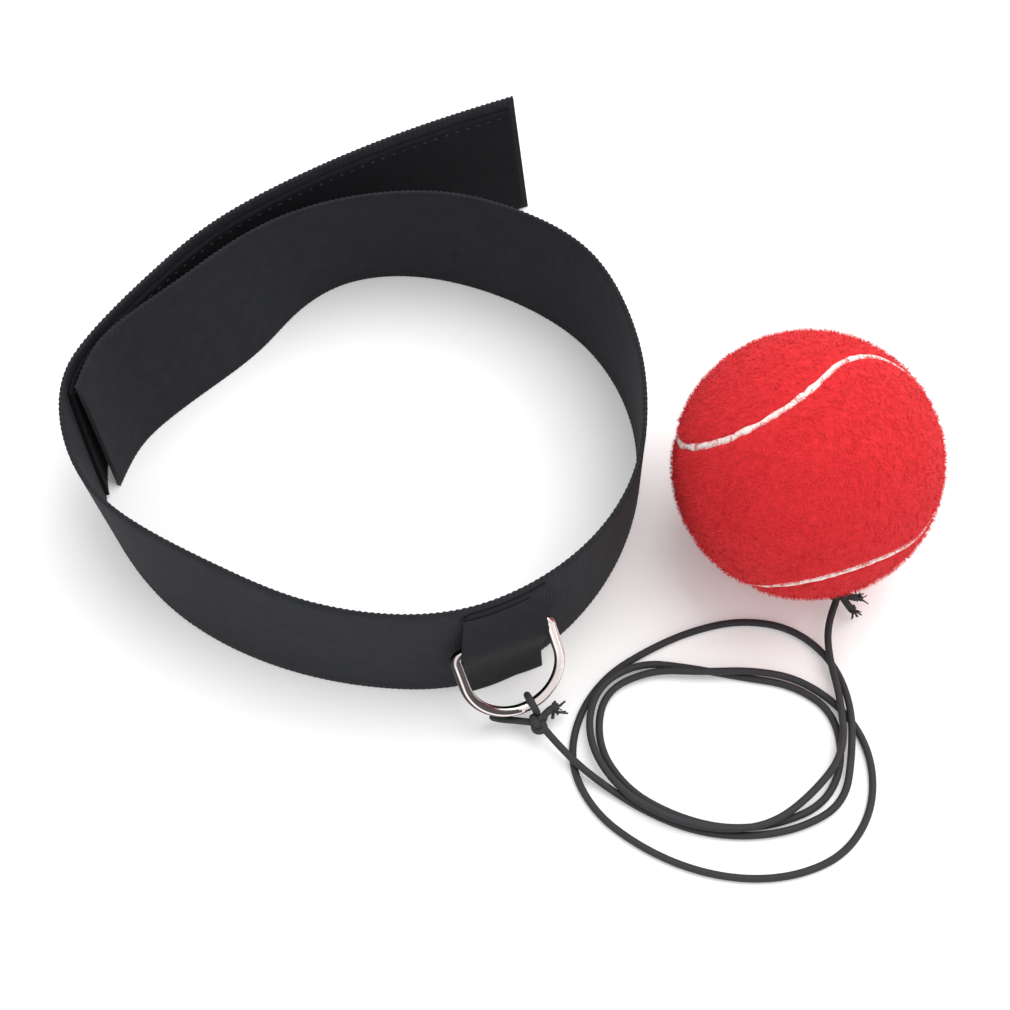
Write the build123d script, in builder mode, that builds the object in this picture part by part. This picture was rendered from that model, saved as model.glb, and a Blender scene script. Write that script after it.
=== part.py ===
"""Reflex ball headband: a webbing head strap, a D-ring, a long thin cord and a felt-covered ball.

The origin is the centre of the head loop on the resting plane, with +Z up. Millimetres.
"""

import os
from math import cos, degrees, pi, radians, sin, sqrt, tan

from build123d import *

os.makedirs("parts", exist_ok=True)

# ---------------------------------------------------------------- driving sizes
strap_width = 40.0
web_thick = 1.2
tape_thick = 1.0
thread = 0.5
lay_gap = 0.03  # between a sewn layer and what it is sewn to

# Mid-line of the strap along its lower and its upper edge: from the cut inner end over the back,
# down the right side, across the front, round the left turn and out along the loose tail.
lower_line = [
    (-67.8, -5.6), (-63.2, 7.7), (-55.9, 17.0), (-44.7, 27.9), (-33.3, 40.0), (-25.6, 50.9),
    (-13.3, 61.4), (4.2, 65.1), (21.7, 62.2), (39.1, 54.6), (56.1, 41.1), (66.4, 23.6), (70.2, 6.0),
    (69.3, -8.0), (65.1, -23.3), (55.6, -40.4), (40.0, -55.4), (23.4, -62.5), (5.0, -63.2),
    (-13.5, -60.0), (-32.6, -52.8), (-48.6, -42.3), (-61.2, -28.5), (-69.3, -14.5), (-72.3, -4.5),
    (-72.2, 5.0), (-68.3, 14.0), (-55.9, 31.8), (-41.8, 47.6), (-23.3, 61.2), (0.2, 74.4),
    (24.4, 85.0), (41.2, 91.4),
]
upper_line = [
    (-70.0, -1.0), (-66.6, 11.6), (-58.2, 22.4), (-47.9, 32.4), (-37.5, 42.7), (-26.7, 51.0),
    (-11.5, 57.8), (4.1, 60.9), (19.8, 60.6), (39.3, 54.0), (54.8, 42.6), (64.7, 23.4), (68.3, 5.2),
    (68.4, -8.1), (66.1, -22.8), (57.5, -40.0), (41.6, -54.5), (24.5, -61.8), (4.3, -62.6),
    (-13.0, -58.7), (-31.9, -50.2), (-47.0, -42.0), (-62.4, -30.0), (-71.3, -14.0), (-73.4, -4.0),
    (-72.8, 5.0), (-68.7, 14.6), (-56.9, 32.5), (-43.3, 49.0), (-25.0, 63.7), (-1.7, 77.9),
    (22.4, 89.6), (36.6, 95.6),
]

loop_tape_from, loop_tape_to = 24.0, 150.0  # along the strap from its inner end
hook_tape_end = 1.5  # webbing left bare past the hook tape, at the outer end
tape_low, tape_high = 1.5, 37.2

# D-ring, held by a sewn patch
wire = 2.6
ring_width = 24.0  # wire centre to wire centre
ring_drop = 20.4
ring_corner = 1.6
bar_centre = (33.65, -61.2, 23.95)
bar_turn = 20.5  # the bar's direction from +X
bar_roll = 5.0  # right end up, in the ring's own plane
ring_hang = 55.0  # below horizontal, outward
patch_width = 19.8
patch_thick = 0.8
patch_low, patch_high = 2.0, 38.0

# cord
cord_dia = 1.8
cord_route = [
    (44.5, -76.9, 5.0), (49.0, -82.0, 3.6), (57.0, -88.5, 1.9), (67.0, -95.0, 0.9), (78.5, -100.0, 0.9),
    (91.0, -101.5, 1.0), (103.5, -99.5, 1.2), (114.5, -93.5, 1.6), (117.5, -81.0, 2.5), (118.5, -68.5, 3.1),
    (115.0, -56.0, 1.7), (106.0, -47.5, 1.1), (93.5, -45.5, 0.9), (81.0, -48.5, 0.9), (69.5, -54.0, 0.9),
    (59.0, -61.0, 0.9), (52.0, -71.5, 0.9), (50.0, -84.0, 0.9), (55.5, -95.5, 0.9), (65.5, -103.5, 0.9),
    (77.0, -109.0, 0.9), (89.5, -111.5, 0.9), (102.0, -110.5, 0.9), (113.5, -105.5, 0.9), (121.0, -95.0, 0.9),
    (122.5, -82.0, 0.9), (118.0, -70.5, 0.9), (107.5, -62.0, 1.7), (95.5, -60.0, 2.9), (82.5, -60.5, 3.0),
    (70.5, -59.5, 2.0), (58.5, -65.0, 1.4), (56.5, -78.5, 1.1), (63.0, -89.5, 0.9), (73.5, -96.0, 0.9),
    (85.5, -99.5, 0.9), (98.0, -98.5, 0.9), (110.0, -93.5, 0.9), (115.5, -83.0, 0.9), (114.5, -70.0, 0.9),
    (105.0, -63.0, 0.9), (92.5, -61.0, 0.9), (80.0, -58.5, 1.0), (67.5, -57.5, 2.1), (56.5, -64.5, 2.9),
    (54.0, -77.5, 2.6), (60.5, -90.0, 3.0), (72.0, -97.5, 3.2), (85.0, -100.5, 3.0), (97.0, -99.0, 2.9),
    (107.5, -91.0, 2.8), (115.5, -81.5, 3.2), (116.0, -68.5, 3.7), (114.1, -56.0, 3.9), (114.9, -47.5, 4.0),
    (117.2, -42.6, 5.0),
]

# ball
ball_radius = 32.5
ball_centre = (107.5, -19.0, ball_radius)
ball_turn = (-98.45, 51.13, 134.52)
felt_inside = 29.2
core_inside = 25.8
lobe_tilt = 8.2
seam_width = 0.9

ring_knot_centre = (42.9, -75.0, 5.8)
ring_loop_centre = (41.0, -70.8, 7.5)
ball_knot_reach = 35.4  # from the ball's centre
ball_knot_normal = Vector(0.297, -0.607, -0.737).normalized()
knot_radius = 2.4

# ---------------------------------------------------------------- strap geometry
with BuildLine() as lower_edge:
    Spline(*lower_line)
with BuildLine() as upper_edge:
    Spline(*upper_line)
low_curve, high_curve = lower_edge.edges()[0], upper_edge.edges()[0]
strap_length = low_curve.length
by_length = PositionMode.LENGTH


def strap_point(along, height, outward):
    """A point this far along the strap, at this height, this far outward of its mid-surface."""
    share, rise = along / strap_length, height / strap_width
    low = low_curve.position_at(share * low_curve.length, position_mode=by_length)
    high = high_curve.position_at(share * high_curve.length, position_mode=by_length)
    low_way = low_curve.tangent_at(share * low_curve.length, position_mode=by_length)
    high_way = high_curve.tangent_at(share * high_curve.length, position_mode=by_length)
    way = low_way * (1 - rise) + high_way * rise
    normal = Vector(-way.Y, way.X).normalized()
    spot = low * (1 - rise) + high * rise + normal * outward
    return (spot.X, spot.Y)


def strap_layer(start, end, low, high, inner, outer, mode=Mode.ADD):
    """Loft one layer of the strap, between two lengths, two heights and two distances outward."""
    steps = max(4, round((end - start) / 4))
    marks = [start + (end - start) * i / steps for i in range(steps + 1)]
    sections = []
    for height in (low, high):
        with BuildSketch(Plane.XY.offset(height)) as section:
            with BuildLine():
                front = Spline(*[strap_point(s, height, outer) for s in marks])
                back = Spline(*[strap_point(s, height, inner) for s in marks])
                Line(front @ 0, back @ 0)
                Line(front @ 1, back @ 1)
            make_face()
        sections.append(section.sketch)
    loft(sections, ruled=True, mode=mode)


def nearest_along(x, y, start, end):
    """How far along the strap, between two lengths, it passes nearest to a point."""
    marks = [start + i * 0.25 for i in range(int((end - start) / 0.25))]
    return min(marks, key=lambda s: (Vector(*strap_point(s, 20, 0)) - Vector(x, y)).length)


half = web_thick / 2
peel_at = nearest_along(-72.9, -4.2, 350, 450)  # where the tail leaves the head loop
patch_at = nearest_along(bar_centre[0], bar_centre[1], 230, 330)
peel_gap = 0.15
print(f"strap {strap_length:.1f} long, tail from {peel_at:.1f}, patch at {patch_at:.1f}")

# head loop, in one length of webbing
with BuildPart() as band_webbing:
    strap_layer(0, peel_at - peel_gap / 2, 0, strap_width, -half, half)

with BuildPart() as loop_tape:
    strap_layer(loop_tape_from, loop_tape_to, tape_low, tape_high, half + lay_gap, half + tape_thick)

with BuildPart() as loop_tape_stitches:
    for height in (tape_low + 1.5, tape_high - 2):
        strap_layer(loop_tape_from + 2, loop_tape_to - 2, height, height + thread, half + tape_thick + 0.02,
                    half + tape_thick + 0.22)

# loose tail, with hook tape on its inner face
with BuildPart() as tail_webbing:
    strap_layer(peel_at + peel_gap / 2, strap_length, 0, strap_width, -half, half)

hook_from = peel_at + peel_gap / 2 + 0.2
hook_to = strap_length - hook_tape_end
with BuildPart() as hook_tape:
    strap_layer(hook_from, hook_to, tape_low, tape_high, -half - tape_thick, -half - lay_gap)

with BuildPart() as hook_tape_stitches:
    for height in (tape_low + 1.5, tape_high - 2):
        strap_layer(hook_from + 2, hook_to - 2, height, height + thread, -half - tape_thick - 0.22,
                    -half - tape_thick - 0.02)

# ---------------------------------------------------------------- ring and patch
level_way = Vector(cos(radians(bar_turn)), sin(radians(bar_turn)), 0)
outward = Vector(sin(radians(bar_turn)), -cos(radians(bar_turn)), 0)
plumb_way = outward * cos(radians(ring_hang)) - Vector(0, 0, sin(radians(ring_hang)))
bar_way = level_way * cos(radians(bar_roll)) - plumb_way * sin(radians(bar_roll))
hang_way = plumb_way * cos(radians(bar_roll)) + level_way * sin(radians(bar_roll))
ring_plane = Plane(origin=bar_centre, x_dir=bar_way, z_dir=bar_way.cross(hang_way))  # +Y along the drop
bar_plane = Plane(origin=bar_centre, x_dir=outward, z_dir=bar_way)  # +Z along the bar

reach = ring_width / 2
with BuildPart() as d_ring:
    with BuildLine(ring_plane) as ring_line:
        bar = Line((-reach, 0), (reach, 0))
        near_leg = Line((reach, 0), (reach, ring_drop - reach))
        ThreePointArc((reach, ring_drop - reach), (0, ring_drop), (-reach, ring_drop - reach))
        Line((-reach, ring_drop - reach), (-reach, 0))
        fillet([v for v in ring_line.vertices() if abs((v.center() - bar_plane.origin).length - reach) < 0.01],
               radius=ring_corner)
    with BuildSketch(bar_plane):
        Circle(wire / 2)
    sweep(path=ring_line.line)

patch_from, patch_to = patch_at - patch_width / 2, patch_at + patch_width / 2
tunnel = wire / 2 + 0.07
with BuildPart() as ring_patch:
    strap_layer(patch_from, patch_to, patch_low, patch_high, 0, half + patch_thick)
    with Locations(Location(bar_plane)):
        Cylinder(tunnel + patch_thick, patch_width)
    strap_layer(patch_from - 5, patch_to + 5, 0, strap_width, half - 6, half + lay_gap, mode=Mode.SUBTRACT)
    with Locations(Location(bar_plane)):
        Cylinder(tunnel, patch_width + 10, mode=Mode.SUBTRACT)

with BuildPart() as patch_stitches:
    outer_face = half + patch_thick
    for height in (patch_low + 1.2, 17.0, 29.0, patch_high - 1.7):
        strap_layer(patch_from + 1.5, patch_to - 1.5, height, height + thread, outer_face + 0.02, outer_face + 0.22)

# ---------------------------------------------------------------- cord and its knots
def bend_radii(points):
    """The bend at each inner point of a route: as wide as the runs beside it leave room for."""
    radii = []
    for before, here, after in zip(points, points[1:], points[2:]):
        arriving, leaving = Vector(*here) - Vector(*before), Vector(*after) - Vector(*here)
        half_turn = radians(arriving.get_angle(leaving)) / 2
        radii.append(0.45 * min(arriving.length, leaving.length) / tan(half_turn))
    return radii


radii = bend_radii(cord_route)
print("cord bend radii", " ".join(f"{r:.1f}" for r in radii))
with BuildPart() as cord:
    with BuildLine() as route:
        FilletPolyline(*cord_route, radius=radii)
    with BuildSketch(Plane(origin=route.line @ 0, z_dir=route.line % 0)):
        Circle(cord_dia / 2)
    sweep(path=route.line)
cord_length = sum(edge.length for edge in route.edges())
print(f"cord length {cord_length:.1f}, volume over section {cord.part.volume / (pi * cord_dia**2 / 4):.1f}")

loop_spot, knot_spot = Vector(*ring_loop_centre), Vector(*ring_knot_centre)
to_knot = (knot_spot - loop_spot).normalized()


def stub(points, diameter):
    """Sweep a short piece of cord through a few points."""
    with BuildLine() as stub_line:
        Spline(*points)
    with BuildSketch(Plane(origin=stub_line.line @ 0, z_dir=stub_line.line % 0)) as end:
        Circle(diameter / 2)
    sweep(end.sketch, path=stub_line.line)


# the knot is one ball with a smaller turn beside it, away from the cord
second_turn = knot_spot + Vector(-1.8, -0.8, 0.6)
with BuildPart() as ring_knot:
    with Locations(ring_knot_centre):
        Sphere(knot_radius)
    with Locations(second_turn):
        Sphere(1.9)

with BuildPart() as ring_knot_tails:
    stub([(40.8, -74.6, 5.6), (37.2, -73.8, 4.4), (34.0, -73.2, 3.6), (31.0, -72.4, 3.2)], cord_dia)
    stub([(43.6, -73.2, 5.8), (45.3, -71.4, 5.0), (46.6, -70.6, 3.8)], cord_dia)
    with Locations(ring_knot_centre):
        Sphere(knot_radius, mode=Mode.SUBTRACT)
    with Locations(second_turn):
        Sphere(1.9, mode=Mode.SUBTRACT)

ring_across = ring_plane.z_dir
loop_local = ring_plane.to_local_coords(loop_spot)
ring_bow = Vector(0, ring_drop - reach)
around = (Vector(loop_local.X, loop_local.Y) - ring_bow).normalized()
wire_spot = ring_plane.from_local_coords(ring_bow + around * reach)
wire_way = ring_plane.from_local_coords(ring_bow + Vector(-around.Y, around.X)) - ring_plane.from_local_coords(
    ring_bow)
print("bar", bar_way, "hang", hang_way, "loop on the wire", wire_spot, "to the knot", (knot_spot - wire_spot).length)
loop_radius = wire / 2 + cord_dia / 2
with BuildPart() as ring_loop:
    with Locations(Location(Plane(origin=wire_spot, z_dir=wire_way))):
        Torus(loop_radius + 0.02, cord_dia / 2)
    stub([wire_spot + (knot_spot - wire_spot).normalized() * 2.6, knot_spot], cord_dia)
    with Locations(Location(Plane(origin=wire_spot, z_dir=wire_way))):
        Cylinder(wire / 2, 6, mode=Mode.SUBTRACT)
    with Locations(ring_knot_centre):
        Sphere(knot_radius, mode=Mode.SUBTRACT)
    with Locations(second_turn):
        Sphere(1.9, mode=Mode.SUBTRACT)

# ---------------------------------------------------------------- ball
ball = Location(ball_centre, ball_turn)
hub = Vector(*ball_centre)
tilt = radians(lobe_tilt)
lobe_cut = ball_radius * cos(tilt) / sqrt(2)
block = 3 * ball_radius


def lobe(quarter, gap):
    """Place of a block whose lower face cuts one lobe off the ball, moved out by a gap."""
    lift = -tilt if quarter % 2 == 0 else tilt
    return ball * Rotation(0, 0, 90 * quarter) * Rotation(0, degrees(lift), 0) * Location(
        (lobe_cut + gap + block / 2, 0, 0))


# the lower half, less the two lobes of the upper panel that reach down into it
with BuildPart() as below_panel:
    with Locations(ball * Location((0, 0, seam_width / 2 - block / 2))):
        Box(block, block, block)
    with Locations(lobe(1, seam_width / 2), lobe(3, seam_width / 2)):
        Box(block, block, block, mode=Mode.SUBTRACT)

with BuildPart() as felt_panel_a:
    with Locations(ball):
        Sphere(ball_radius)
        Sphere(felt_inside, mode=Mode.SUBTRACT)
    add(below_panel.part, mode=Mode.SUBTRACT)
    with Locations(lobe(0, -seam_width / 2), lobe(2, -seam_width / 2)):
        Box(block, block, block, mode=Mode.SUBTRACT)

seam_axis = Axis(ball_centre, (Plane(ball).x_dir + Plane(ball).y_dir).normalized())
with BuildPart() as felt_panel_b:
    add(felt_panel_a.part.rotate(seam_axis, 180))

with BuildPart() as seam_cement:
    with Locations(ball):
        Sphere(ball_radius - 0.5)
        Sphere(felt_inside, mode=Mode.SUBTRACT)
    add(felt_panel_a.part, mode=Mode.SUBTRACT)
    add(felt_panel_b.part, mode=Mode.SUBTRACT)

with BuildPart() as core_shell_upper:
    with Locations(ball):
        Sphere(felt_inside)
        Sphere(core_inside, mode=Mode.SUBTRACT)
    with Locations(ball * Location((0, 0, block / 2))):
        Box(block, block, block, mode=Mode.INTERSECT)

with BuildPart() as core_shell_lower:
    with Locations(ball):
        Sphere(felt_inside)
        Sphere(core_inside, mode=Mode.SUBTRACT)
    with Locations(ball * Location((0, 0, -block / 2))):
        Box(block, block, block, mode=Mode.INTERSECT)

# a stitch of cord goes in and out through the wall; the knot sits over it
stitch_half, stitch_depth, stitch_top = 2.2, core_inside - 1.4, ball_radius - 0.4
knot_side = Vector(0.897, 0.441, 0)
stitch_plane = Plane(origin=ball_centre, x_dir=knot_side - ball_knot_normal * knot_side.dot(ball_knot_normal),
                     z_dir=knot_side.cross(ball_knot_normal))


def stitch_loop(diameter, mode=Mode.ADD):
    """Sweep a closed loop of cord through the ball's wall."""
    middle = Plane(origin=stitch_plane.from_local_coords((0, (stitch_top + stitch_depth) / 2)),
                   x_dir=stitch_plane.x_dir, z_dir=stitch_plane.z_dir)
    with BuildSketch(middle) as outline:
        RectangleRounded(2 * stitch_half, stitch_top - stitch_depth, 1.2)
    loop = outline.sketch.wire()
    with BuildSketch(Plane(origin=loop @ 0, z_dir=loop % 0)) as section:
        Circle(diameter / 2)
    sweep(section.sketch, path=loop, mode=mode)


with BuildPart() as ball_stitch:
    stitch_loop(cord_dia)

knot_hub = hub + ball_knot_normal * ball_knot_reach
with BuildPart() as ball_knot:
    with Locations(knot_hub):
        Sphere(knot_radius)
    with Locations(knot_hub + Vector(1.6, 1.3, -0.8)):
        Sphere(1.7)
    with Locations(ball):
        Sphere(ball_radius + 0.55, mode=Mode.SUBTRACT)

with BuildPart() as ball_knot_tails:
    stub([knot_hub + Vector(1.6, -0.4, 0.0), knot_hub + Vector(3.6, -1.2, -0.4), knot_hub + Vector(5.2, -1.0, -1.2)],
         cord_dia)
    stub([knot_hub + Vector(1.4, -1.2, -0.8), knot_hub + Vector(2.6, -2.8, -1.8), knot_hub + Vector(4.0, -3.8, -3.2)],
         cord_dia)
    with Locations(knot_hub):
        Sphere(knot_radius, mode=Mode.SUBTRACT)
    with Locations(knot_hub + Vector(1.6, 1.3, -0.8)):
        Sphere(1.7, mode=Mode.SUBTRACT)
    with Locations(ball):
        Sphere(ball_radius + 0.55, mode=Mode.SUBTRACT)

for wall in (felt_panel_a, felt_panel_b, seam_cement, core_shell_upper, core_shell_lower):
    with wall:
        stitch_loop(cord_dia + 0.2, mode=Mode.SUBTRACT)

# ---------------------------------------------------------------- write
nodes = {
    "band_webbing": band_webbing, "loop_tape": loop_tape, "loop_tape_stitches": loop_tape_stitches, "ring_patch": ring_patch,
    "patch_stitches": patch_stitches, "tail_webbing": tail_webbing, "hook_tape": hook_tape,
    "hook_tape_stitches": hook_tape_stitches, "d_ring": d_ring, "ring_loop": ring_loop,
    "ring_knot": ring_knot, "ring_knot_tails": ring_knot_tails, "cord": cord, "ball_knot": ball_knot,
    "ball_knot_tails": ball_knot_tails, "ball_stitch": ball_stitch, "core_shell_upper": core_shell_upper,
    "core_shell_lower": core_shell_lower, "felt_panel_a": felt_panel_a, "felt_panel_b": felt_panel_b,
    "seam_cement": seam_cement,
}
for name, built in nodes.items():
    built.part.label = name
    export_step(built.part, f"parts/{name}.step")
    box = built.part.bounding_box()
    print(f"{name:20s} solids {len(built.part.solids())} volume {built.part.volume:9.2f}"
          f"  x {box.min.X:.1f}..{box.max.X:.1f} y {box.min.Y:.1f}..{box.max.Y:.1f} z {box.min.Z:.2f}..{box.max.Z:.1f}")
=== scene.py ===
"""Looks of the reflex ball headband, built round its CAD frame, in the same axes.

Blender works in metres; the sizes and points below are in millimetres unless they say otherwise.
"""

import math
import random

import bpy
import bmesh
import numpy as np
from mathutils import Euler, Matrix, Vector


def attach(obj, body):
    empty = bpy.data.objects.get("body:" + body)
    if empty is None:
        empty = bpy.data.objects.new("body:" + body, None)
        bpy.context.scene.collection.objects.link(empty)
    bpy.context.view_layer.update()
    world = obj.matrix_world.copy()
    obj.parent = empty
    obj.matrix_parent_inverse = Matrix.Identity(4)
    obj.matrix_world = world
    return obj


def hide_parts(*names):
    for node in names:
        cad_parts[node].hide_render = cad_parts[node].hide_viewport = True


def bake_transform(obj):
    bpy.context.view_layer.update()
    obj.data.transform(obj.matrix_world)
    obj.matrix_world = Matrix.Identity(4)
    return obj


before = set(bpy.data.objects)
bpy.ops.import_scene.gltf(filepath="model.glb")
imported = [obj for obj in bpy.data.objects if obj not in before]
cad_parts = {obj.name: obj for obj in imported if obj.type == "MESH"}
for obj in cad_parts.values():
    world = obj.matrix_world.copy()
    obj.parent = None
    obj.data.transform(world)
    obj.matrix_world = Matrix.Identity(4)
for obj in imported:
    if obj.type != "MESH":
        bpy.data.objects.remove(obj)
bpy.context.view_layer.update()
MM = 0.001
scene = bpy.context.scene

# ------------------------------------------------------------------ camera
LOOK = Vector((34.5, -11.5, 0)) * MM
PITCH, DISTANCE = math.radians(60), 0.3952  # down from level; metres
camera_data = bpy.data.cameras.new("camera")
camera_data.sensor_width = 36
camera_data.lens = 53.47
camera_data.clip_start = 0.01
camera = bpy.data.objects.new("camera", camera_data)
camera.location = LOOK + DISTANCE * Vector((0, -math.cos(PITCH), math.sin(PITCH)))
camera.rotation_euler = (math.radians(90) - PITCH, 0, 0)
scene.collection.objects.link(camera)
scene.camera = camera


# ------------------------------------------------------------------ helpers
def add_object(name, data):
    obj = bpy.data.objects.new(name, data)
    scene.collection.objects.link(obj)
    return obj


def mesh_object(name, verts, faces, material, smooth=True):
    """A mesh from points in millimetres."""
    mesh = bpy.data.meshes.new(name)
    mesh.from_pydata([Vector(v) * MM for v in verts], [], faces)
    mesh.update()
    if smooth:
        mesh.polygons.foreach_set("use_smooth", [True] * len(mesh.polygons))
    mesh.materials.append(material)
    return add_object(name, mesh)


def material(name, color, roughness=0.8, **inputs):
    mat = bpy.data.materials.new(name)
    mat.use_nodes = True
    shader = mat.node_tree.nodes["Principled BSDF"]
    shader.inputs["Base Color"].default_value = (*color, 1)
    shader.inputs["Roughness"].default_value = roughness
    for key, value in inputs.items():
        shader.inputs[key.replace("_", " ")].default_value = value
    return mat


def mottled(mat, color_a, color_b, scale, bump=0.0, bump_scale=0.0):
    """Vary a material's colour, and its bump, by noise in the object's own coordinates."""
    tree = mat.node_tree
    shader = tree.nodes["Principled BSDF"]
    where = tree.nodes.new("ShaderNodeTexCoord")

    def noise(size):
        node = tree.nodes.new("ShaderNodeTexNoise")
        node.inputs["Scale"].default_value = size
        node.inputs["Detail"].default_value = 4.0
        tree.links.new(where.outputs["Object"], node.inputs["Vector"])
        return node.outputs["Fac"]

    ramp = tree.nodes.new("ShaderNodeValToRGB")
    for stop, place, color in zip(ramp.color_ramp.elements, (0.3, 0.7), (color_a, color_b)):
        stop.position, stop.color = place, (*color, 1)
    tree.links.new(noise(scale), ramp.inputs["Fac"])
    tree.links.new(ramp.outputs["Color"], shader.inputs["Base Color"])
    if bump:
        relief = tree.nodes.new("ShaderNodeBump")
        relief.inputs["Strength"].default_value = 1.0
        relief.inputs["Distance"].default_value = bump
        tree.links.new(noise(bump_scale), relief.inputs["Height"])
        tree.links.new(relief.outputs["Normal"], shader.inputs["Normal"])
    return mat


def graded(mat, stops, lean):
    """Paint reflection bands into a material's colour, graded by how far its surface faces a fixed direction.
    """
    tree = mat.node_tree
    geometry = tree.nodes.new("ShaderNodeNewGeometry")
    facing = tree.nodes.new("ShaderNodeVectorMath")
    facing.operation = "DOT_PRODUCT"
    facing.inputs[1].default_value = Vector(lean).normalized()
    tree.links.new(geometry.outputs["Normal"], facing.inputs[0])
    half = tree.nodes.new("ShaderNodeMath")  # from -1..1 to 0..1
    half.operation = "MULTIPLY_ADD"
    half.inputs[1].default_value = half.inputs[2].default_value = 0.5
    tree.links.new(facing.outputs["Value"], half.inputs[0])
    ramp = tree.nodes.new("ShaderNodeValToRGB")
    for i, (place, color) in enumerate(stops):
        stop = ramp.color_ramp.elements[i] if i < 2 else ramp.color_ramp.elements.new(place)
        stop.position, stop.color = place, (*color, 1)
    tree.links.new(half.outputs["Value"], ramp.inputs["Fac"])
    tree.links.new(ramp.outputs["Color"], tree.nodes["Principled BSDF"].inputs["Base Color"])


# ------------------------------------------------------------------ materials
cord_mat = material("cord", (0.022, 0.022, 0.025), 0.75)
edge_mat = material("cut_edge", (0.05, 0.05, 0.056), 0.7)
fray_mat = material("fray", (0.05, 0.045, 0.045), 0.8)
seam_mat = material("seam", (0.85, 0.78, 0.74), 0.8)
rubber_mat = material("core_rubber", (0.12, 0.1, 0.09), 0.7)
fibre_mat = material("felt_fibre", (0.72, 0.022, 0.03), 0.9)
# the floor glows faintly: painted light that lifts the shadows cast on it
floor_mat = material("floor", (0.9, 0.9, 0.9), 0.9, Emission_Color=(1, 0.985, 0.98, 1),
                     Emission_Strength=0.14)

webbing_mat = material("webbing", (0.015, 0.016, 0.019), 0.85, Specular_IOR_Level=0.25)
mottled(webbing_mat, (0.0125, 0.0135, 0.0165), (0.0175, 0.0185, 0.0225), 260)
patch_mat = material("patch", (0.011, 0.0115, 0.0135), 0.8, Specular_IOR_Level=0.25)
mottled(patch_mat, (0.009, 0.0095, 0.0115), (0.013, 0.0135, 0.016), 300)
tape_mat = material("hook_tape", (0.0075, 0.008, 0.01), 0.9, Specular_IOR_Level=0.2)
mottled(tape_mat, (0.0048, 0.005, 0.0065), (0.0075, 0.008, 0.0105), 900)
loop_mat = material("loop_pile", (0.014, 0.014, 0.016), 0.95)
mottled(loop_mat, (0.008, 0.008, 0.01), (0.02, 0.02, 0.024), 1500, bump=0.0004, bump_scale=2500)
felt_mat = material("felt", (0.66, 0.014, 0.02), 0.95)
mottled(felt_mat, (0.58, 0.011, 0.016), (0.74, 0.02, 0.027), 700, bump=0.0004, bump_scale=1500)

# the ring mirrors a room that isn't here, so its dark and bright bands are painted reflections, graded into
# its colour by direction
RING_LEAN = (0.5, -0.45, 0.72)
dark, pale = (0.02, 0.018, 0.018), (0.86, 0.77, 0.76)
ring_mat = material("ring_metal", (0.62, 0.56, 0.56), 0.2, Metallic=1.0)
graded(ring_mat, ((0.0, dark), (1.0, pale), (0.42, dark), (0.47, (0.3, 0.27, 0.27)), (0.53, dark),
                  (0.66, dark), (0.72, (0.45, 0.4, 0.4)), (0.77, pale)), RING_LEAN)
# a darker copy of the ring's metal: painted dark reflections for the part of the ring that mirrors the dark
# strap
ring_dark = material("ring_metal_shade", (0.1, 0.09, 0.09), 0.2, Metallic=1.0)
graded(ring_dark, ((0.0, dark), (1.0, (0.1, 0.09, 0.09)), (0.6, dark), (0.78, (0.05, 0.045, 0.045)),
                   (0.86, pale), (0.91, pale), (0.95, (0.08, 0.07, 0.07))), RING_LEAN)

# the first word found in a frame node's name says its material
NODE_MATERIALS = (("d_ring", ring_mat), ("cord", cord_mat), ("seam", seam_mat), ("felt", felt_mat),
                  ("core", rubber_mat), ("patch", patch_mat), ("tape", tape_mat), ("knot", cord_mat),
                  ("loop", cord_mat), ("stitch", cord_mat), ("webbing", webbing_mat))
for name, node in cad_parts.items():
    node.data.materials.clear()
    node.data.materials.append(next(mat for word, mat in NODE_MATERIALS if word in name))

# ------------------------------------------------------------------ cord
CORD = 1.8
cord_route = [
    (44.5, -76.9, 5.0), (49.0, -82.0, 3.6), (57.0, -88.5, 1.9), (67.0, -95.0, 0.9), (78.5, -100.0, 0.9),
    (91.0, -101.5, 1.0), (103.5, -99.5, 1.2), (114.5, -93.5, 1.6), (117.5, -81.0, 2.5), (118.5, -68.5, 3.1),
    (115.0, -56.0, 1.7), (106.0, -47.5, 1.1), (93.5, -45.5, 0.9), (81.0, -48.5, 0.9), (69.5, -54.0, 0.9),
    (59.0, -61.0, 0.9), (52.0, -71.5, 0.9), (50.0, -84.0, 0.9), (55.5, -95.5, 0.9), (65.5, -103.5, 0.9),
    (77.0, -109.0, 0.9), (89.5, -111.5, 0.9), (102.0, -110.5, 0.9), (113.5, -105.5, 0.9), (121.0, -95.0, 0.9),
    (122.5, -82.0, 0.9), (118.0, -70.5, 0.9), (107.5, -62.0, 1.7), (95.5, -60.0, 2.9), (82.5, -60.5, 3.0),
    (70.5, -59.5, 2.0), (58.5, -65.0, 1.4), (56.5, -78.5, 1.1), (63.0, -89.5, 0.9), (73.5, -96.0, 0.9),
    (85.5, -99.5, 0.9), (98.0, -98.5, 0.9), (110.0, -93.5, 0.9), (115.5, -83.0, 0.9), (114.5, -70.0, 0.9),
    (105.0, -63.0, 0.9), (92.5, -61.0, 0.9), (80.0, -58.5, 1.0), (67.5, -57.5, 2.1), (56.5, -64.5, 2.9),
    (54.0, -77.5, 2.6), (60.5, -90.0, 3.0), (72.0, -97.5, 3.2), (85.0, -100.5, 3.0), (97.0, -99.0, 2.9),
    (107.5, -91.0, 2.8), (115.5, -81.5, 3.2), (116.0, -68.5, 3.7), (114.1, -56.0, 3.9), (114.9, -47.5, 4.0),
    (117.2, -42.6, 5.0),
]
curve = bpy.data.curves.new("cord_line", "CURVE")
curve.dimensions = "3D"
curve.bevel_depth = CORD / 2 * MM
curve.bevel_resolution = 4
curve.resolution_u = 8
curve.use_fill_caps = True
spline = curve.splines.new("NURBS")
spline.points.add(len(cord_route) - 1)
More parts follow.
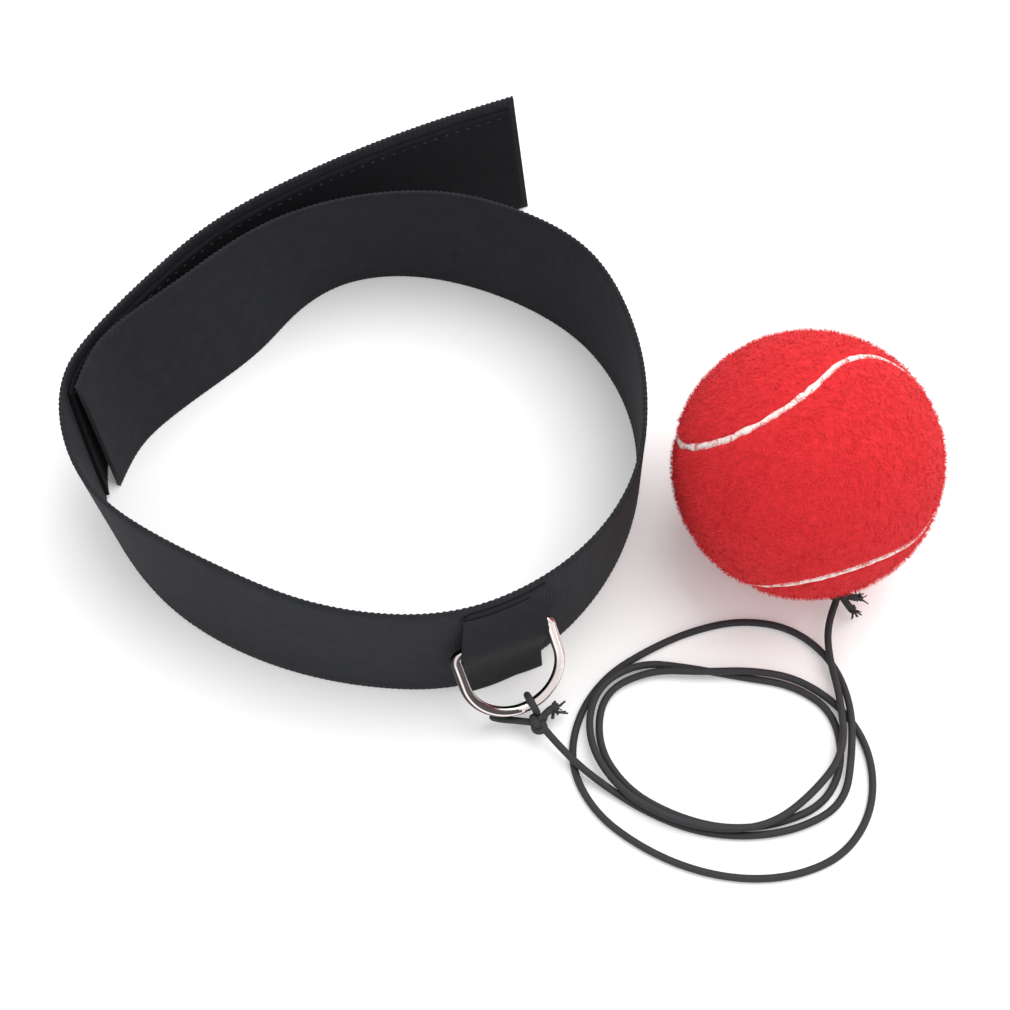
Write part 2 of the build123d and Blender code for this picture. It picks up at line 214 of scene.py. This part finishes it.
for point, (x, y, z) in zip(spline.points, cord_route):
    point.co = (x * MM, y * MM, z * MM, 1)
spline.order_u = 3
spline.use_endpoint_u = True
curve.materials.append(cord_mat)
cord = add_object("elastic_cord", curve)
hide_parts("cord")
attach(cord, "tether")

# ------------------------------------------------------------------ strap
# "along" is the length along the strap from its cut inner end
WIDTH, WEB, TAPE = 40.0, 1.2, 1.0
PEEL_AT = 414.8  # along, where the tail leaves the head loop
LAP = 404.0  # along, before the turn: the strip is cut here, and its outer part is built as a piece of its own with the tail
TAPE_LOW, TAPE_HIGH = 1.5, 37.2
HOOK_FROM, HOOK_SLANT, HOOK_BARE = 409.5, 7.5, 1.5  # along; its start leans; webbing left bare past it
LOOP_FROM, LOOP_TO = 24, 150
lower_line = [
    (-67.8, -5.6), (-63.2, 7.7), (-55.9, 17.0), (-44.7, 27.9), (-33.3, 40.0), (-25.6, 50.9),
    (-13.3, 61.4), (4.2, 65.1), (21.7, 62.2), (39.1, 54.6), (56.1, 41.1), (66.4, 23.6), (70.2, 6.0),
    (69.3, -8.0), (65.1, -23.3), (55.6, -40.4), (40.0, -55.4), (23.4, -62.5), (5.0, -63.2),
    (-13.5, -60.0), (-32.6, -52.8), (-48.6, -42.3), (-61.2, -28.5), (-69.3, -14.5), (-72.3, -4.5),
    (-72.2, 5.0), (-68.3, 14.0), (-55.9, 31.8), (-41.8, 47.6), (-23.3, 61.2), (0.2, 74.4),
    (24.4, 85.0), (41.2, 91.4),
]
upper_line = [
    (-70.0, -1.0), (-66.6, 11.6), (-58.2, 22.4), (-47.9, 32.4), (-37.5, 42.7), (-26.7, 51.0),
    (-11.5, 57.8), (4.1, 60.9), (19.8, 60.6), (39.3, 54.0), (54.8, 42.6), (64.7, 23.4), (68.3, 5.2),
    (68.4, -8.1), (66.1, -22.8), (57.5, -40.0), (41.6, -54.5), (24.5, -61.8), (4.3, -62.6),
    (-13.0, -58.7), (-31.9, -50.2), (-47.0, -42.0), (-62.4, -30.0), (-71.3, -14.0), (-73.4, -4.0),
    (-72.8, 5.0), (-68.7, 14.6), (-56.9, 32.5), (-43.3, 49.0), (-25.0, 63.7), (-1.7, 77.9),
    (22.4, 89.6), (36.6, 95.6),
]


def smooth_line(points, per_span=60):
    """A natural cubic spline through points: its samples, and how far along each one is."""
    p = np.array(points, float)
    h = np.linalg.norm(np.diff(p, axis=0), axis=1)
    n = len(p)
    left, right = np.eye(n), np.zeros((n, 2))
    for i in range(1, n - 1):
        left[i, i - 1:i + 2] = h[i - 1], 2 * (h[i - 1] + h[i]), h[i]
        right[i] = 6 * ((p[i + 1] - p[i]) / h[i] - (p[i] - p[i - 1]) / h[i - 1])
    m = np.linalg.solve(left, right)
    samples = []
    for i in range(n - 1):
        t = np.linspace(0, 1, per_span, endpoint=False)[:, None] * h[i]
        slope = (p[i + 1] - p[i]) / h[i] - h[i] * (2 * m[i] + m[i + 1]) / 6
        samples.append(p[i] + t * slope + t**2 * m[i] / 2 + t**3 * (m[i + 1] - m[i]) / (6 * h[i]))
    samples = np.vstack(samples + [p[-1:]])
    return samples, np.r_[0, np.cumsum(np.linalg.norm(np.diff(samples, axis=0), axis=1))]


low_samples, low_run = smooth_line(lower_line)
high_samples, high_run = smooth_line(upper_line)
STRAP = low_run[-1]


def strap_points(along, height, outward):
    """Points on the strap, for arrays of length along, height and distance outward."""
    share = along / STRAP
    rise = (height / WIDTH)[..., None]

    def edge(samples, run, share):
        return np.stack([np.interp(share * run[-1], run, samples[:, k]) for k in (0, 1)], axis=-1)

    def middle(share):
        return edge(low_samples, low_run, share) * (1 - rise) + edge(high_samples, high_run, share) * rise

    step = 0.5 / STRAP
    way = middle(share + step) - middle(share - step)
    normal = np.stack([-way[..., 1], way[..., 0]], axis=-1)
    normal /= np.linalg.norm(normal, axis=-1, keepdims=True)
    spot = middle(share) + normal * outward[..., None]
    return np.concatenate([spot, height[..., None]], axis=-1)


def strap_point(along, height, outward):
    """One such point, from three numbers."""
    return strap_points(np.array([along]), np.array([height]), np.array([outward]))[0]


def skin(name, points, mats, cap_material=0):
    """A mesh from points [columns, ring, 3]: each column is one closed ring, and both ends are capped."""
    columns, ring = points.shape[:2]
    faces = []
    for i in range(columns - 1):
        a, b = i * ring, (i + 1) * ring
        for j in range(ring):
            k = (j + 1) % ring
            faces.append((a + j, b + j, b + k, a + k))
    faces.append(tuple(range(ring)))
    faces.append(tuple(range((columns - 1) * ring, columns * ring))[::-1])
    obj = mesh_object(name, points.reshape(-1, 3), faces, mats[0])
    for extra in mats[1:]:
        obj.data.materials.append(extra)
    for poly in list(obj.data.polygons)[-2:]:
        poly.material_index = cap_material
        poly.use_smooth = False
    return obj


def wander(along, seed, length):
    """Slow smooth noise along the strap, between -1 and 1, with a new value at every length."""
    past_the_end = 800
    dice = np.random.default_rng(seed)
    marks = np.arange(-2, past_the_end / length + 2) * length
    return np.interp(along, marks, dice.uniform(-1, 1, len(marks)))


def woven(name, start, end):
    """Webbing between two lengths: crosswise ribs on both faces, and a beaded selvage on both edges."""
    column_step, rows = 0.25, 18
    rib_pitch, rib = 1.05, 0.055
    bead_pitch, bead, teeth, rim_width = 1.5, 0.07, 0.16, 1.6
    columns = int((end - start) / column_step)
    along = np.linspace(start, end, columns)[:, None]
    heights = np.linspace(0.5, WIDTH - 0.5, rows)
    # up the outer face, round the top edge, down the inner face and round the bottom edge
    ring_z = np.r_[heights, WIDTH - 0.12, WIDTH, WIDTH - 0.12, heights[::-1], 0.15, 0.05, 0.15]
    side = np.r_[np.ones(rows), 0.72, 0, -0.72, -np.ones(rows), -0.72, 0, 0.72]
    z = np.repeat(ring_z[None, :], columns, axis=0)
    waver = 0.9 * wander(along, 3, 11) + 0.5 * np.sin(z * 0.9 + along * 0.17)
    ribs = np.cos(2 * np.pi * along / rib_pitch + waver)
    strength = rib * (0.75 + 0.5 * np.sin(z * 1.7 + along * 0.31) * wander(along, 5, 5))
    beads = np.cos(2 * np.pi * along / bead_pitch + 0.8 * wander(along, 9, 9))
    rim = np.clip(np.abs(z - WIDTH / 2) - (WIDTH / 2 - rim_width), 0, rim_width) / rim_width
    d = side[None, :] * (WEB / 2 - rib + ribs * strength * (1 - 0.6 * rim) + bead * rim * beads)
    z = z + np.where(z > WIDTH / 2, 1, 0.15) * rim**2 * beads * teeth
    return skin(name, strap_points(np.broadcast_to(along, z.shape), z, d), [webbing_mat, edge_mat], 1)


def band_layer(name, start, end, inner, outer, mat, rows, step, rough, seed, slant=0.0):
    """A tape on the strap; slant moves its start along between its lower and its upper edge."""
    columns = int((end - start) / step)
    share = np.linspace(0, 1, columns)[:, None]
    heights = np.linspace(TAPE_LOW, TAPE_HIGH, rows)
    ring_z = np.r_[heights, heights[::-1]]
    side = np.r_[np.ones(rows), np.zeros(rows)]
    z = np.repeat(ring_z[None, :], columns, axis=0)
    first = start + slant * (z - TAPE_LOW) / (TAPE_HIGH - TAPE_LOW)
    along = first + share * (end - first)
    dice = np.random.default_rng(seed)
    d = inner + (outer - inner) * side[None, :] + rough * dice.uniform(-1, 1, z.shape)
    return skin(name, strap_points(along, z, d), [mat])


band = woven("webbing_loop", 0.0, LAP)
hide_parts("band_webbing")
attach(band, "headband")

tail = woven("webbing_tail", LAP, STRAP)
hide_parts("tail_webbing")
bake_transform(tail)

hook = band_layer("hook_tape_strip", HOOK_FROM, STRAP - HOOK_BARE, -WEB / 2, -WEB / 2 - TAPE, tape_mat,
                  rows=28, step=0.7, rough=0.05, seed=4, slant=HOOK_SLANT)
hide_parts("hook_tape")
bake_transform(hook)

loops = band_layer("loop_tape_strip", LOOP_FROM, LOOP_TO, WEB / 2, WEB / 2 + TAPE, loop_mat,
                   rows=40, step=0.8, rough=0.09, seed=5)
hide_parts("loop_tape")
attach(loops, "headband")


def tape_threads(name, start, end, outward, node):
    """Rows of stitches near both edges of a tape, each a flat lozenge of thread sunk at both ends."""
    thick, pitch, stitch, sunk = 0.45, 3.2, 2.3, 0.1
    sign = 1 if outward > 0 else -1
    verts, faces = [], []
    for height in (3.2, 35.4):
        for s in np.arange(start, end - stitch, pitch):
            a, b = strap_point(s, height, outward), strap_point(s + stitch, height, outward)
            n = strap_point(s, height, outward + sign) - a
            way = (b - a) / np.linalg.norm(b - a)
            side = np.cross(way, n) * thick / 2
            mid = (a + b) / 2
            base = len(verts)
            verts += [a - n * sunk, mid + side, b - n * sunk, mid - side, mid + n * thick * 0.6]
            faces += [(base + k, base + (k + 1) % 4, base + 4) for k in range(4)]
            faces.append((base, base + 3, base + 2, base + 1))
    obj = mesh_object(name, verts, faces, cord_mat)
    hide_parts(node)
    return obj


hook_thread = tape_threads("hook_tape_threads", PEEL_AT + 3, STRAP - 4, -WEB / 2 - TAPE, "hook_tape_stitches")
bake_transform(hook_thread)
loop_thread = tape_threads("loop_tape_threads", LOOP_FROM + 2, LOOP_TO - 2, WEB / 2 + TAPE,
                           "loop_tape_stitches")
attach(loop_thread, "headband")

# ------------------------------------------------------------------ the ring's place
WIRE = 2.6
RING_HALF, RING_DROP, RING_CORNER = 12.0, 20.4, 1.6  # half the width and the whole drop, to the wire's middle
BAR_TURN = math.radians(20.5)
BAR_ROLL, RING_HANG = math.radians(5), math.radians(55)
bar_centre = np.array([33.65, -61.2, 23.95])
level_way = np.array([math.cos(BAR_TURN), math.sin(BAR_TURN), 0])
bar_out = np.array([math.sin(BAR_TURN), -math.cos(BAR_TURN), 0])
plumb_way = bar_out * math.cos(RING_HANG) - np.array([0, 0, math.sin(RING_HANG)])
bar_way = level_way * math.cos(BAR_ROLL) - plumb_way * math.sin(BAR_ROLL)
hang_way = plumb_way * math.cos(BAR_ROLL) + level_way * math.sin(BAR_ROLL)

# ------------------------------------------------------------------ patch over the ring's bar
PATCH_AT, PATCH_THICK = 279.2, 0.65  # along; mm
PATCH_LIFT = 0.75  # its outer face above the webbing, where it lies flat
PATCH_FOOT, PATCH_RISE = 0.4, 37.9
STAND_OFF = 1.3  # below the bar it leaves the webbing, and twice as far at its lower right
BAR_HEIGHT, TOP_SPAN = 23, 15.0  # the hump over the bar, and what is left of the patch above it
REACH_HEIGHTS = (0, 23, 34, 38)  # at these heights it reaches this far to either side of its middle
REACH_RIGHT, REACH_LEFT = (6.6, 8.0, 10.3, 11.0), (11.0, 12.0, 9.8, 9.5)


def patch_point(across, height, sunk):
    """A point on the patch, or sunk below its outer face: across from -1, its left edge, to 1, its right."""
    reach = float(np.interp(height, REACH_HEIGHTS, REACH_RIGHT if across > 0 else REACH_LEFT))
    along = PATCH_AT - across * reach
    flat = strap_point(along, height, 0.0)
    over_bar = (bar_centre - flat) @ bar_out + WIRE / 2 + PATCH_LIFT
    off_below = max(0.0, 1 - height / BAR_HEIGHT) * (STAND_OFF + STAND_OFF * max(0.0, across))
    base = WEB / 2 + PATCH_LIFT + off_below
    t = (height - BAR_HEIGHT) / (TOP_SPAN if height > BAR_HEIGHT else BAR_HEIGHT)
    hump = math.exp(-(t / 0.42) ** 2)
    top_edge = 0.3 * max(0.0, (height - 36.3) / 2)  # sewn down
    d = max(base, base + (over_bar - base) * hump) - top_edge
    outer = strap_point(along, height, 1.0) - flat
    return flat + outer * (d - sunk)


def build_patch():
    columns, rows = 30, 44
    corner_from, corner_high, corner_cut = -0.8, 0.94, 1.6  # the upper left corner is clipped round
    outer, inner = [], []
    for i in range(columns):
        across = -1 + 2 * i / (columns - 1)
        for j in range(rows):
            share = j / (rows - 1)
            height = PATCH_FOOT + PATCH_RISE * share
            corner = 0.0
            if across < corner_from and share > corner_high:
                corner = (((corner_from - across) / (1 + corner_from)) ** 2
                          * ((share - corner_high) / (1 - corner_high)) * corner_cut)
            outer.append(patch_point(across, height - corner, 0.0))
            inner.append(patch_point(across, height - corner, PATCH_THICK))
    n = columns * rows
    faces = []
    for i in range(columns - 1):
        for j in range(rows - 1):
            a = i * rows + j
            b = a + rows
            faces.append((a, a + 1, b + 1, b))
            faces.append((n + a, n + b, n + b + 1, n + a + 1))
    rim = [i * rows for i in range(columns)]
    rim += [(columns - 1) * rows + j for j in range(1, rows)]
    rim += [i * rows + rows - 1 for i in range(columns - 2, -1, -1)]
    rim += list(range(rows - 2, 0, -1))
    for a, b in zip(rim, rim[1:] + rim[:1]):
        faces.append((a, b, n + b, n + a))
    return mesh_object("ring_patch_tape", outer + inner, faces, patch_mat)


patch = build_patch()
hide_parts("ring_patch")
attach(patch, "headband")


# ------------------------------------------------------------------ tubes: ring, knots, frayed ends
def tube(name, path, radius, mat, sides=16, closed=False, taper=None):
    """A round tube along points in millimetres, carried by a frame that turns as little as it can."""
    path = [Vector(p) for p in path]
    n = len(path)
    verts, faces = [], []
    across = None
    for i, p in enumerate(path):
        if closed:
            way = (path[(i + 1) % n] - path[i - 1]).normalized()
        else:
            way = (path[min(i + 1, n - 1)] - path[max(i - 1, 0)]).normalized()
        if across is None:
            across = way.orthogonal().normalized()
        across = (across - way * across.dot(way)).normalized()
        up = way.cross(across)
        r = radius * (taper[i] if taper else 1)
        for k in range(sides):
            angle = 2 * math.pi * k / sides
            verts.append(p + (across * math.cos(angle) + up * math.sin(angle)) * r)

    def bridge(a, b, shift=0):
        for k in range(sides):
            m = (k + 1) % sides
            faces.append((a + k, b + (k + shift) % sides, b + (m + shift) % sides, a + m))

    for i in range(n - 1):
        bridge(i * sides, (i + 1) * sides)
    if closed:
        # the frame has turned a little by the time it comes round: join each point to the nearest one
        first, last = verts[:sides], verts[-sides:]
        bridge((n - 1) * sides, 0, min(range(sides), key=lambda q: (last[0] - first[q]).length))
    else:
        faces.append(tuple(range(sides))[::-1])
        faces.append(tuple(range((n - 1) * sides, n * sides)))
    return mesh_object(name, verts, faces, mat)


def join(name, pieces):
    """One object from several, keeping their materials."""
    for obj in bpy.context.selected_objects:
        obj.select_set(False)
    for obj in pieces:
        obj.select_set(True)
    bpy.context.view_layer.objects.active = pieces[0]
    bpy.ops.object.join()
    pieces[0].name = name
    return pieces[0]


def curve_through(points, count):
    """Points on a smooth line through a few points in space."""
    p = np.array(points, float)
    samples = []
    spans = len(p) - 1
    for i in range(spans):
        p0, p1, p2, p3 = p[max(i - 1, 0)], p[i], p[i + 1], p[min(i + 2, spans)]
        for t in np.linspace(0, 1, max(2, count // spans), endpoint=i == spans - 1):
            samples.append(0.5 * (2 * p1 + (p2 - p0) * t + (2 * p0 - 5 * p1 + 4 * p2 - p3) * t**2
                                  + (3 * p1 - p0 - 3 * p2 + p3) * t**3))
    return samples


def arc(x, y, radius, angles):
    """Points round a centre, at angles in degrees."""
    return [(x + radius * math.cos(math.radians(a)), y + radius * math.sin(math.radians(a))) for a in angles]


def ring_outline():
    """The ring's wire line, in its own plane: the bar, a leg, the bow and the other leg."""
    bar_end, leg_end = RING_HALF - RING_CORNER, RING_DROP - RING_HALF
    line = [(x, 0) for x in np.linspace(-bar_end, bar_end, 8)]
    line += arc(bar_end, RING_CORNER, RING_CORNER, np.linspace(-90, 0, 7)[1:])
    line += [(RING_HALF, y) for y in np.linspace(RING_CORNER, leg_end, 6)[1:]]
    line += arc(0, leg_end, RING_HALF, np.linspace(0, 180, 61)[1:])
    line += [(-RING_HALF, y) for y in np.linspace(leg_end, RING_CORNER, 6)[1:]]
    line += arc(-bar_end, RING_CORNER, RING_CORNER, np.linspace(180, 270, 7)[1:-1])
    return [bar_centre + bar_way * x + hang_way * y for x, y in line]


ring = tube("steel_ring", ring_outline(), WIRE / 2, ring_mat, sides=28, closed=True)
ring.data.materials.append(ring_dark)
SHADE_FROM = -1.5  # along the bar from its middle; left of here the ring mirrors mostly dark things
# faces left of SHADE_FROM take the darker copy: painted dark reflections
for poly in ring.data.polygons:
    if (Vector(poly.center) / MM - Vector(bar_centre)).dot(Vector(bar_way)) < SHADE_FROM:
        poly.material_index = 1
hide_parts("d_ring")
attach(ring, "ring")

KNOT = np.array([42.9, -75.0, 5.8])
WIRE_SPOT = np.array([41.0, -70.8, 7.5])  # where the cord goes round the wire
TIED, NECK = CORD / 2 * 0.95, CORD / 2 * 0.97  # the cord's radius where it is pulled tight, and beside it


def knot_tube(name, centre, turn, size):
    """A tight trefoil of cord."""
    count = 96
    spin = Euler([math.radians(a) for a in turn]).to_matrix()
    path = []
    for i in range(count):
        t = 2 * math.pi * i / count
        p = Vector((math.sin(t) + 2 * math.sin(2 * t), math.cos(t) - 2 * math.cos(2 * t),
                    -1.2 * math.sin(3 * t)))
        path.append(Vector(centre) + spin @ (p * size))
    return tube(name, path, TIED, cord_mat, sides=12, closed=True)


def fray(name, root, way, spread, length, count, thick, seed, curl):
    """Loose fibres that fan out from a cut end of cord."""
    dice = random.Random(seed)

    def any_way():
        return Vector([dice.uniform(-1, 1) for _ in range(3)])

    fibres = []
    way = Vector(way).normalized()
    for i in range(count):
        aim = (way + any_way() * spread).normalized()
        bend = any_way() * curl
        start = Vector(root) + any_way() * 0.5
        reach = length * dice.uniform(0.5, 1.1)
        path = [start + aim * reach * t + bend * reach * t * t for t in (0, 0.3, 0.6, 0.85, 1.0)]
        path = [Vector((p.x, p.y, max(p.z, 0.12))) for p in path]
        fibres.append(tube(f"{name}_{i}", path, thick / 2 * dice.uniform(0.7, 1.3), fray_mat, sides=5,
                           taper=(1, 1, 1, 0.9, 0.75)))
    return join(name, fibres)


knot = knot_tube("ring_knot_cord", KNOT + np.array([-0.3, 0.1, 0]), (25, 35, 20), 0.68)
neck_line = curve_through([KNOT, (43.9, -76.2, 5.25), (44.9, -77.35, 4.87)], 8)
neck = tube("ring_knot_neck", neck_line, NECK, cord_mat)
knot = join("ring_knot_cord", [knot, neck])
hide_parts("ring_knot")
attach(knot, "ring")

bow_centre = bar_centre + hang_way * (RING_DROP - RING_HALF)
radial = (WIRE_SPOT - bow_centre) / np.linalg.norm(WIRE_SPOT - bow_centre)
wire_centre = bow_centre + radial * RING_HALF
across = np.cross(bar_way, hang_way)
loop_path = []
for i in range(40):
    t = 2 * math.pi * i / 40
    loop_path.append(wire_centre
                     + (radial * math.cos(t) * 1.12 + across * math.sin(t)) * (WIRE / 2 + CORD / 2))
wrap = tube("loop_round_wire", loop_path, TIED, cord_mat, sides=14, closed=True)
link_line = curve_through([wire_centre + radial * 2.2, (wire_centre + KNOT) / 2 + radial * 0.6, KNOT], 12)
link = tube("loop_link", link_line, TIED, cord_mat, sides=14)
ring_tie = join("ring_tie", [wrap, link])
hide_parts("ring_loop")
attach(ring_tie, "ring")

plain_line = curve_through([(41.4, -74.8, 5.6), (37.2, -73.8, 4.4), (34.0, -73.2, 3.6), (30.8, -72.4, 3.2)],
                           24)
plain = tube("plain_end", plain_line, TIED, cord_mat, sides=14, taper=[1] * 20 + [0.97, 0.9, 0.75, 0.45])
frayed_line = curve_through([(43.4, -73.6, 5.8), (45.0, -71.8, 5.6), (45.9, -70.8, 4.6)], 8)
frayed = tube("frayed_stub", frayed_line, CORD / 2, cord_mat, sides=12)
wisps = fray("ring_wisps", (45.7, -71.0, 4.8), (0.6, 0.0, -0.4), spread=0.7, length=1.9, count=30, thick=0.5,
             seed=11, curl=1.1)
tails = join("ring_tails", [plain, frayed, wisps])
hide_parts("ring_knot_tails")
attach(tails, "ring")

# ------------------------------------------------------------------ ball
BALL = np.array([107.5, -19.0, 32.5])
R, TILT = 32.5, math.radians(8.2)
ball_turn = np.array(Euler([math.radians(a) for a in (98.57, 51.77, 135.32)], "XYZ").to_matrix())


def seam_line(per_arc=260):
    """Unit vectors along the seam, in the ball's own frame: four tangent arcs."""
    opening = math.acos(math.cos(TILT) / math.sqrt(2))
    line = []
    for k in range(4):
        sign = 1 if k % 2 == 0 else -1
        axis = Vector((math.cos(TILT), 0, sign * math.sin(TILT)))
        first = Vector((1, -1, 0)).normalized()
        spin = Matrix.Rotation(math.pi / 2 * k, 3, "Z")
        u = (first - axis * first.dot(axis)).normalized()
        v = axis.cross(u)
        last = Vector((1, 1, 0)).normalized()
        end = math.atan2(last.dot(v), last.dot(u))
        if sign > 0 and end > 0:
            end -= 2 * math.pi
        if sign < 0 and end < 0:
            end += 2 * math.pi
        for i in range(per_arc):
            a = end * i / per_arc
            p = axis * math.cos(opening) + (u * math.cos(a) + v * math.sin(a)) * math.sin(opening)
            line.append(np.array(spin @ p))
    return np.array(line)


seam = seam_line() @ ball_turn.T


def thinned(units, by):
    """The seam's width at unit vectors: 1 on most of the ball, and 1 - by well down its underside."""
    return 1 - by * np.clip((-0.1 - units[:, 2]) / 0.3, 0, 1)


def seam_distance(units):
    """Distance over the ball's surface from each unit vector to the seam, in millimetres."""
    out = np.empty(len(units))
    for i in range(0, len(units), 4000):
        out[i:i + 4000] = np.arccos(np.clip(units[i:i + 4000] @ seam.T, -1, 1)).min(axis=1) * R
    return out


ball_mesh = bmesh.new()
bmesh.ops.create_icosphere(ball_mesh, subdivisions=7, radius=1)
units = np.array([v.co.normalized()[:] for v in ball_mesh.verts])
gap = seam_distance(units)
lumps = np.random.default_rng(21)
waves = lumps.normal(size=(26, 3)) * 14.0
phase = lumps.uniform(0, 6.28, 26)
nap = np.sin(units @ waves.T + phase).mean(axis=1)
fine = lumps.normal(size=len(units)) * 0.05
thin = thinned(units, 0.55)
groove = 1.15 * thin * np.exp(-(gap / (0.85 * thin)) ** 2)
height = R - 0.35 + nap * 0.3 + fine - groove
for v, u, h in zip(ball_mesh.verts, units, height):
    v.co = Vector((BALL + u * h) * MM)
felt_data = bpy.data.meshes.new("felt_cover")
ball_mesh.to_mesh(felt_data)
ball_mesh.free()
felt_data.polygons.foreach_set("use_smooth", [True] * len(felt_data.polygons))
felt_data.materials.append(felt_mat)
felt = add_object("felt_cover", felt_data)


def felt_fibres(count, seed):
    """Short curled fibres, combed loosely over the ball and kept off the seam."""
    dice = np.random.default_rng(seed)
    roots = dice.normal(size=(count, 3))
    roots /= np.linalg.norm(roots, axis=1)[:, None]
    clear = seam_distance(roots)
    keep = clear > dice.uniform(0.35, 1.0, count)
    roots, clear = roots[keep], clear[keep]
    n = len(roots)
    combed = dice.normal(size=(n, 3))
    combed -= roots * (combed * roots).sum(axis=1)[:, None]
    combed /= np.linalg.norm(combed, axis=1)[:, None]
    side = np.cross(roots, combed)
    length = dice.uniform(0.7, 1.9, n)[:, None]
    rise = dice.uniform(0.2, 1.25, n)[:, None] * np.clip(clear / 2.5, 0.35, 1)[:, None]
    bend = dice.normal(size=(n, 1)) * 0.5
    width = dice.uniform(0.05, 0.1, n)[:, None]
    base = BALL + roots * (R - 0.5)
    levels = []
    for t, w in ((0, 1), (0.5, 0.85), (1, 0.3)):
        centre = base + roots * rise * (1.7 * t - 0.7 * t * t) + combed * length * t + side * bend * t * t
        levels += [centre - side * width * w, centre + side * width * w]
    verts = np.stack(levels, axis=1).reshape(-1, 3)
    verts[:, 2] = np.maximum(verts[:, 2], 0.05)
    faces = []
    for i in range(n):
        o = i * 6
        faces += [(o, o + 1, o + 3, o + 2), (o + 2, o + 3, o + 5, o + 4)]
    return mesh_object("felt_nap", verts, faces, fibre_mat, smooth=False)


nap_piece = felt_fibres(42000, 31)
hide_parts("felt_panel_a", "felt_panel_b")
for piece in (felt, nap_piece):
    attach(piece, "ball")


def seam_strip():
    """The pale cement between the panels: a low uneven bead."""
    dice = np.random.default_rng(41)
    n = len(seam)

    def uneven(every):
        knots = dice.uniform(-1, 1, n // every + 1)
        return np.interp(np.arange(n), np.linspace(0, n, len(knots)), knots)

    left, right = uneven(7), uneven(5)
    ahead = np.roll(seam, -1, axis=0) - np.roll(seam, 1, axis=0)
    ahead /= np.linalg.norm(ahead, axis=1)[:, None]
    side = np.cross(seam, ahead)
    verts = []
    thin = thinned(seam, 0.62)
    for lean, drop in ((-1, 0.95), (-0.6, 0.5), (0, 0.42), (0.6, 0.5), (1, 0.95)):
        reach = (0.86 + 0.34 * (left if lean < 0 else right)) * thin
        verts.append(BALL + seam * (R - drop + 0.06 * left[:, None]) + side * (lean * reach)[:, None])
    grid = np.stack(verts, axis=1)
    rows = len(verts)
    faces = []
    for i in range(n):
        a, b = i * rows, ((i + 1) % n) * rows
        faces += [(a + j, b + j, b + j + 1, a + j + 1) for j in range(rows - 1)]
    return mesh_object("seam_bead", grid.reshape(-1, 3), faces, seam_mat)


bead = seam_strip()
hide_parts("seam_cement")
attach(bead, "ball")

# ------------------------------------------------------------------ tie at the ball
stitch_normal = np.array([0.297, -0.607, -0.737])
BALL_KNOT = BALL + stitch_normal / np.linalg.norm(stitch_normal) * 35.4
tie = knot_tube("ball_knot_cord", BALL_KNOT + np.array([0, 0, -0.2]), (-30, 20, 60), 0.6)
ball_neck_line = curve_through([BALL_KNOT, (117.4, -41.9, 5.5), (116.9, -43.4, 4.85)], 8)
ball_neck = tube("ball_knot_neck", ball_neck_line, NECK, cord_mat)
tie = join("ball_knot_cord", [tie, ball_neck])
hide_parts("ball_knot")
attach(tie, "ball_tie")


def ball_stub(name, steps):
    """A short cut end of cord, through points given from the knot."""
    line = curve_through([BALL_KNOT + np.array(p) for p in steps], 8)
    return tube(name, line, CORD / 2, cord_mat, sides=12)


def ball_wisps(name, root, way, seed):
    return fray(name, BALL_KNOT + np.array(root), way, spread=0.6, length=1.7, count=24, thick=0.45,
                seed=seed, curl=0.9)


stub_a = ball_stub("ball_stub_a", ((1.2, -0.3, 0), (3.2, -1.1, -0.3), (4.6, -1.0, -0.9)))
stub_b = ball_stub("ball_stub_b", ((1.0, -1.0, -0.7), (2.2, -2.5, -1.6), (3.4, -3.5, -2.8)))
wisps_a = ball_wisps("ball_wisps_a", (4.4, -1.0, -0.8), (1, 0.1, -0.3), 17)
wisps_b = ball_wisps("ball_wisps_b", (3.2, -3.4, -2.7), (0.8, -0.6, -0.1), 18)
ball_tails = join("ball_tails", [stub_a, stub_b, wisps_a, wisps_b])
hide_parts("ball_knot_tails")
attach(ball_tails, "ball_tie")

# ------------------------------------------------------------------ floor and light
FLOOR = 6.0  # half its side, in metres
floor_mesh = bpy.data.meshes.new("floor")
floor_mesh.from_pydata([(-FLOOR, -FLOOR, 0), (FLOOR, -FLOOR, 0), (FLOOR, FLOOR, 0), (-FLOOR, FLOOR, 0)], [],
                       [(0, 1, 2, 3)])
floor_mesh.materials.append(floor_mat)
floor = add_object("floor", floor_mesh)

world = bpy.data.worlds.new("studio")
scene.world = world
world.use_nodes = True
world.node_tree.nodes["Background"].inputs["Color"].default_value = (1, 1, 1, 1)
world.node_tree.nodes["Background"].inputs["Strength"].default_value = 0.9


def area_light(name, place, target, size, power):
    """A square light at one place, aimed at another; metres and watts."""
    data = bpy.data.lights.new(name, "AREA")
    data.size, data.energy = size, power
    light = add_object(name, data)
    light.location = place
    light.rotation_euler = (Vector(target) - Vector(place)).to_track_quat("-Z", "Y").to_euler()


area_light("key", (0.34, 0.22, 0.85), (0.03, 0, 0), 0.9, 7)
scene.view_settings.view_transform = "Standard"
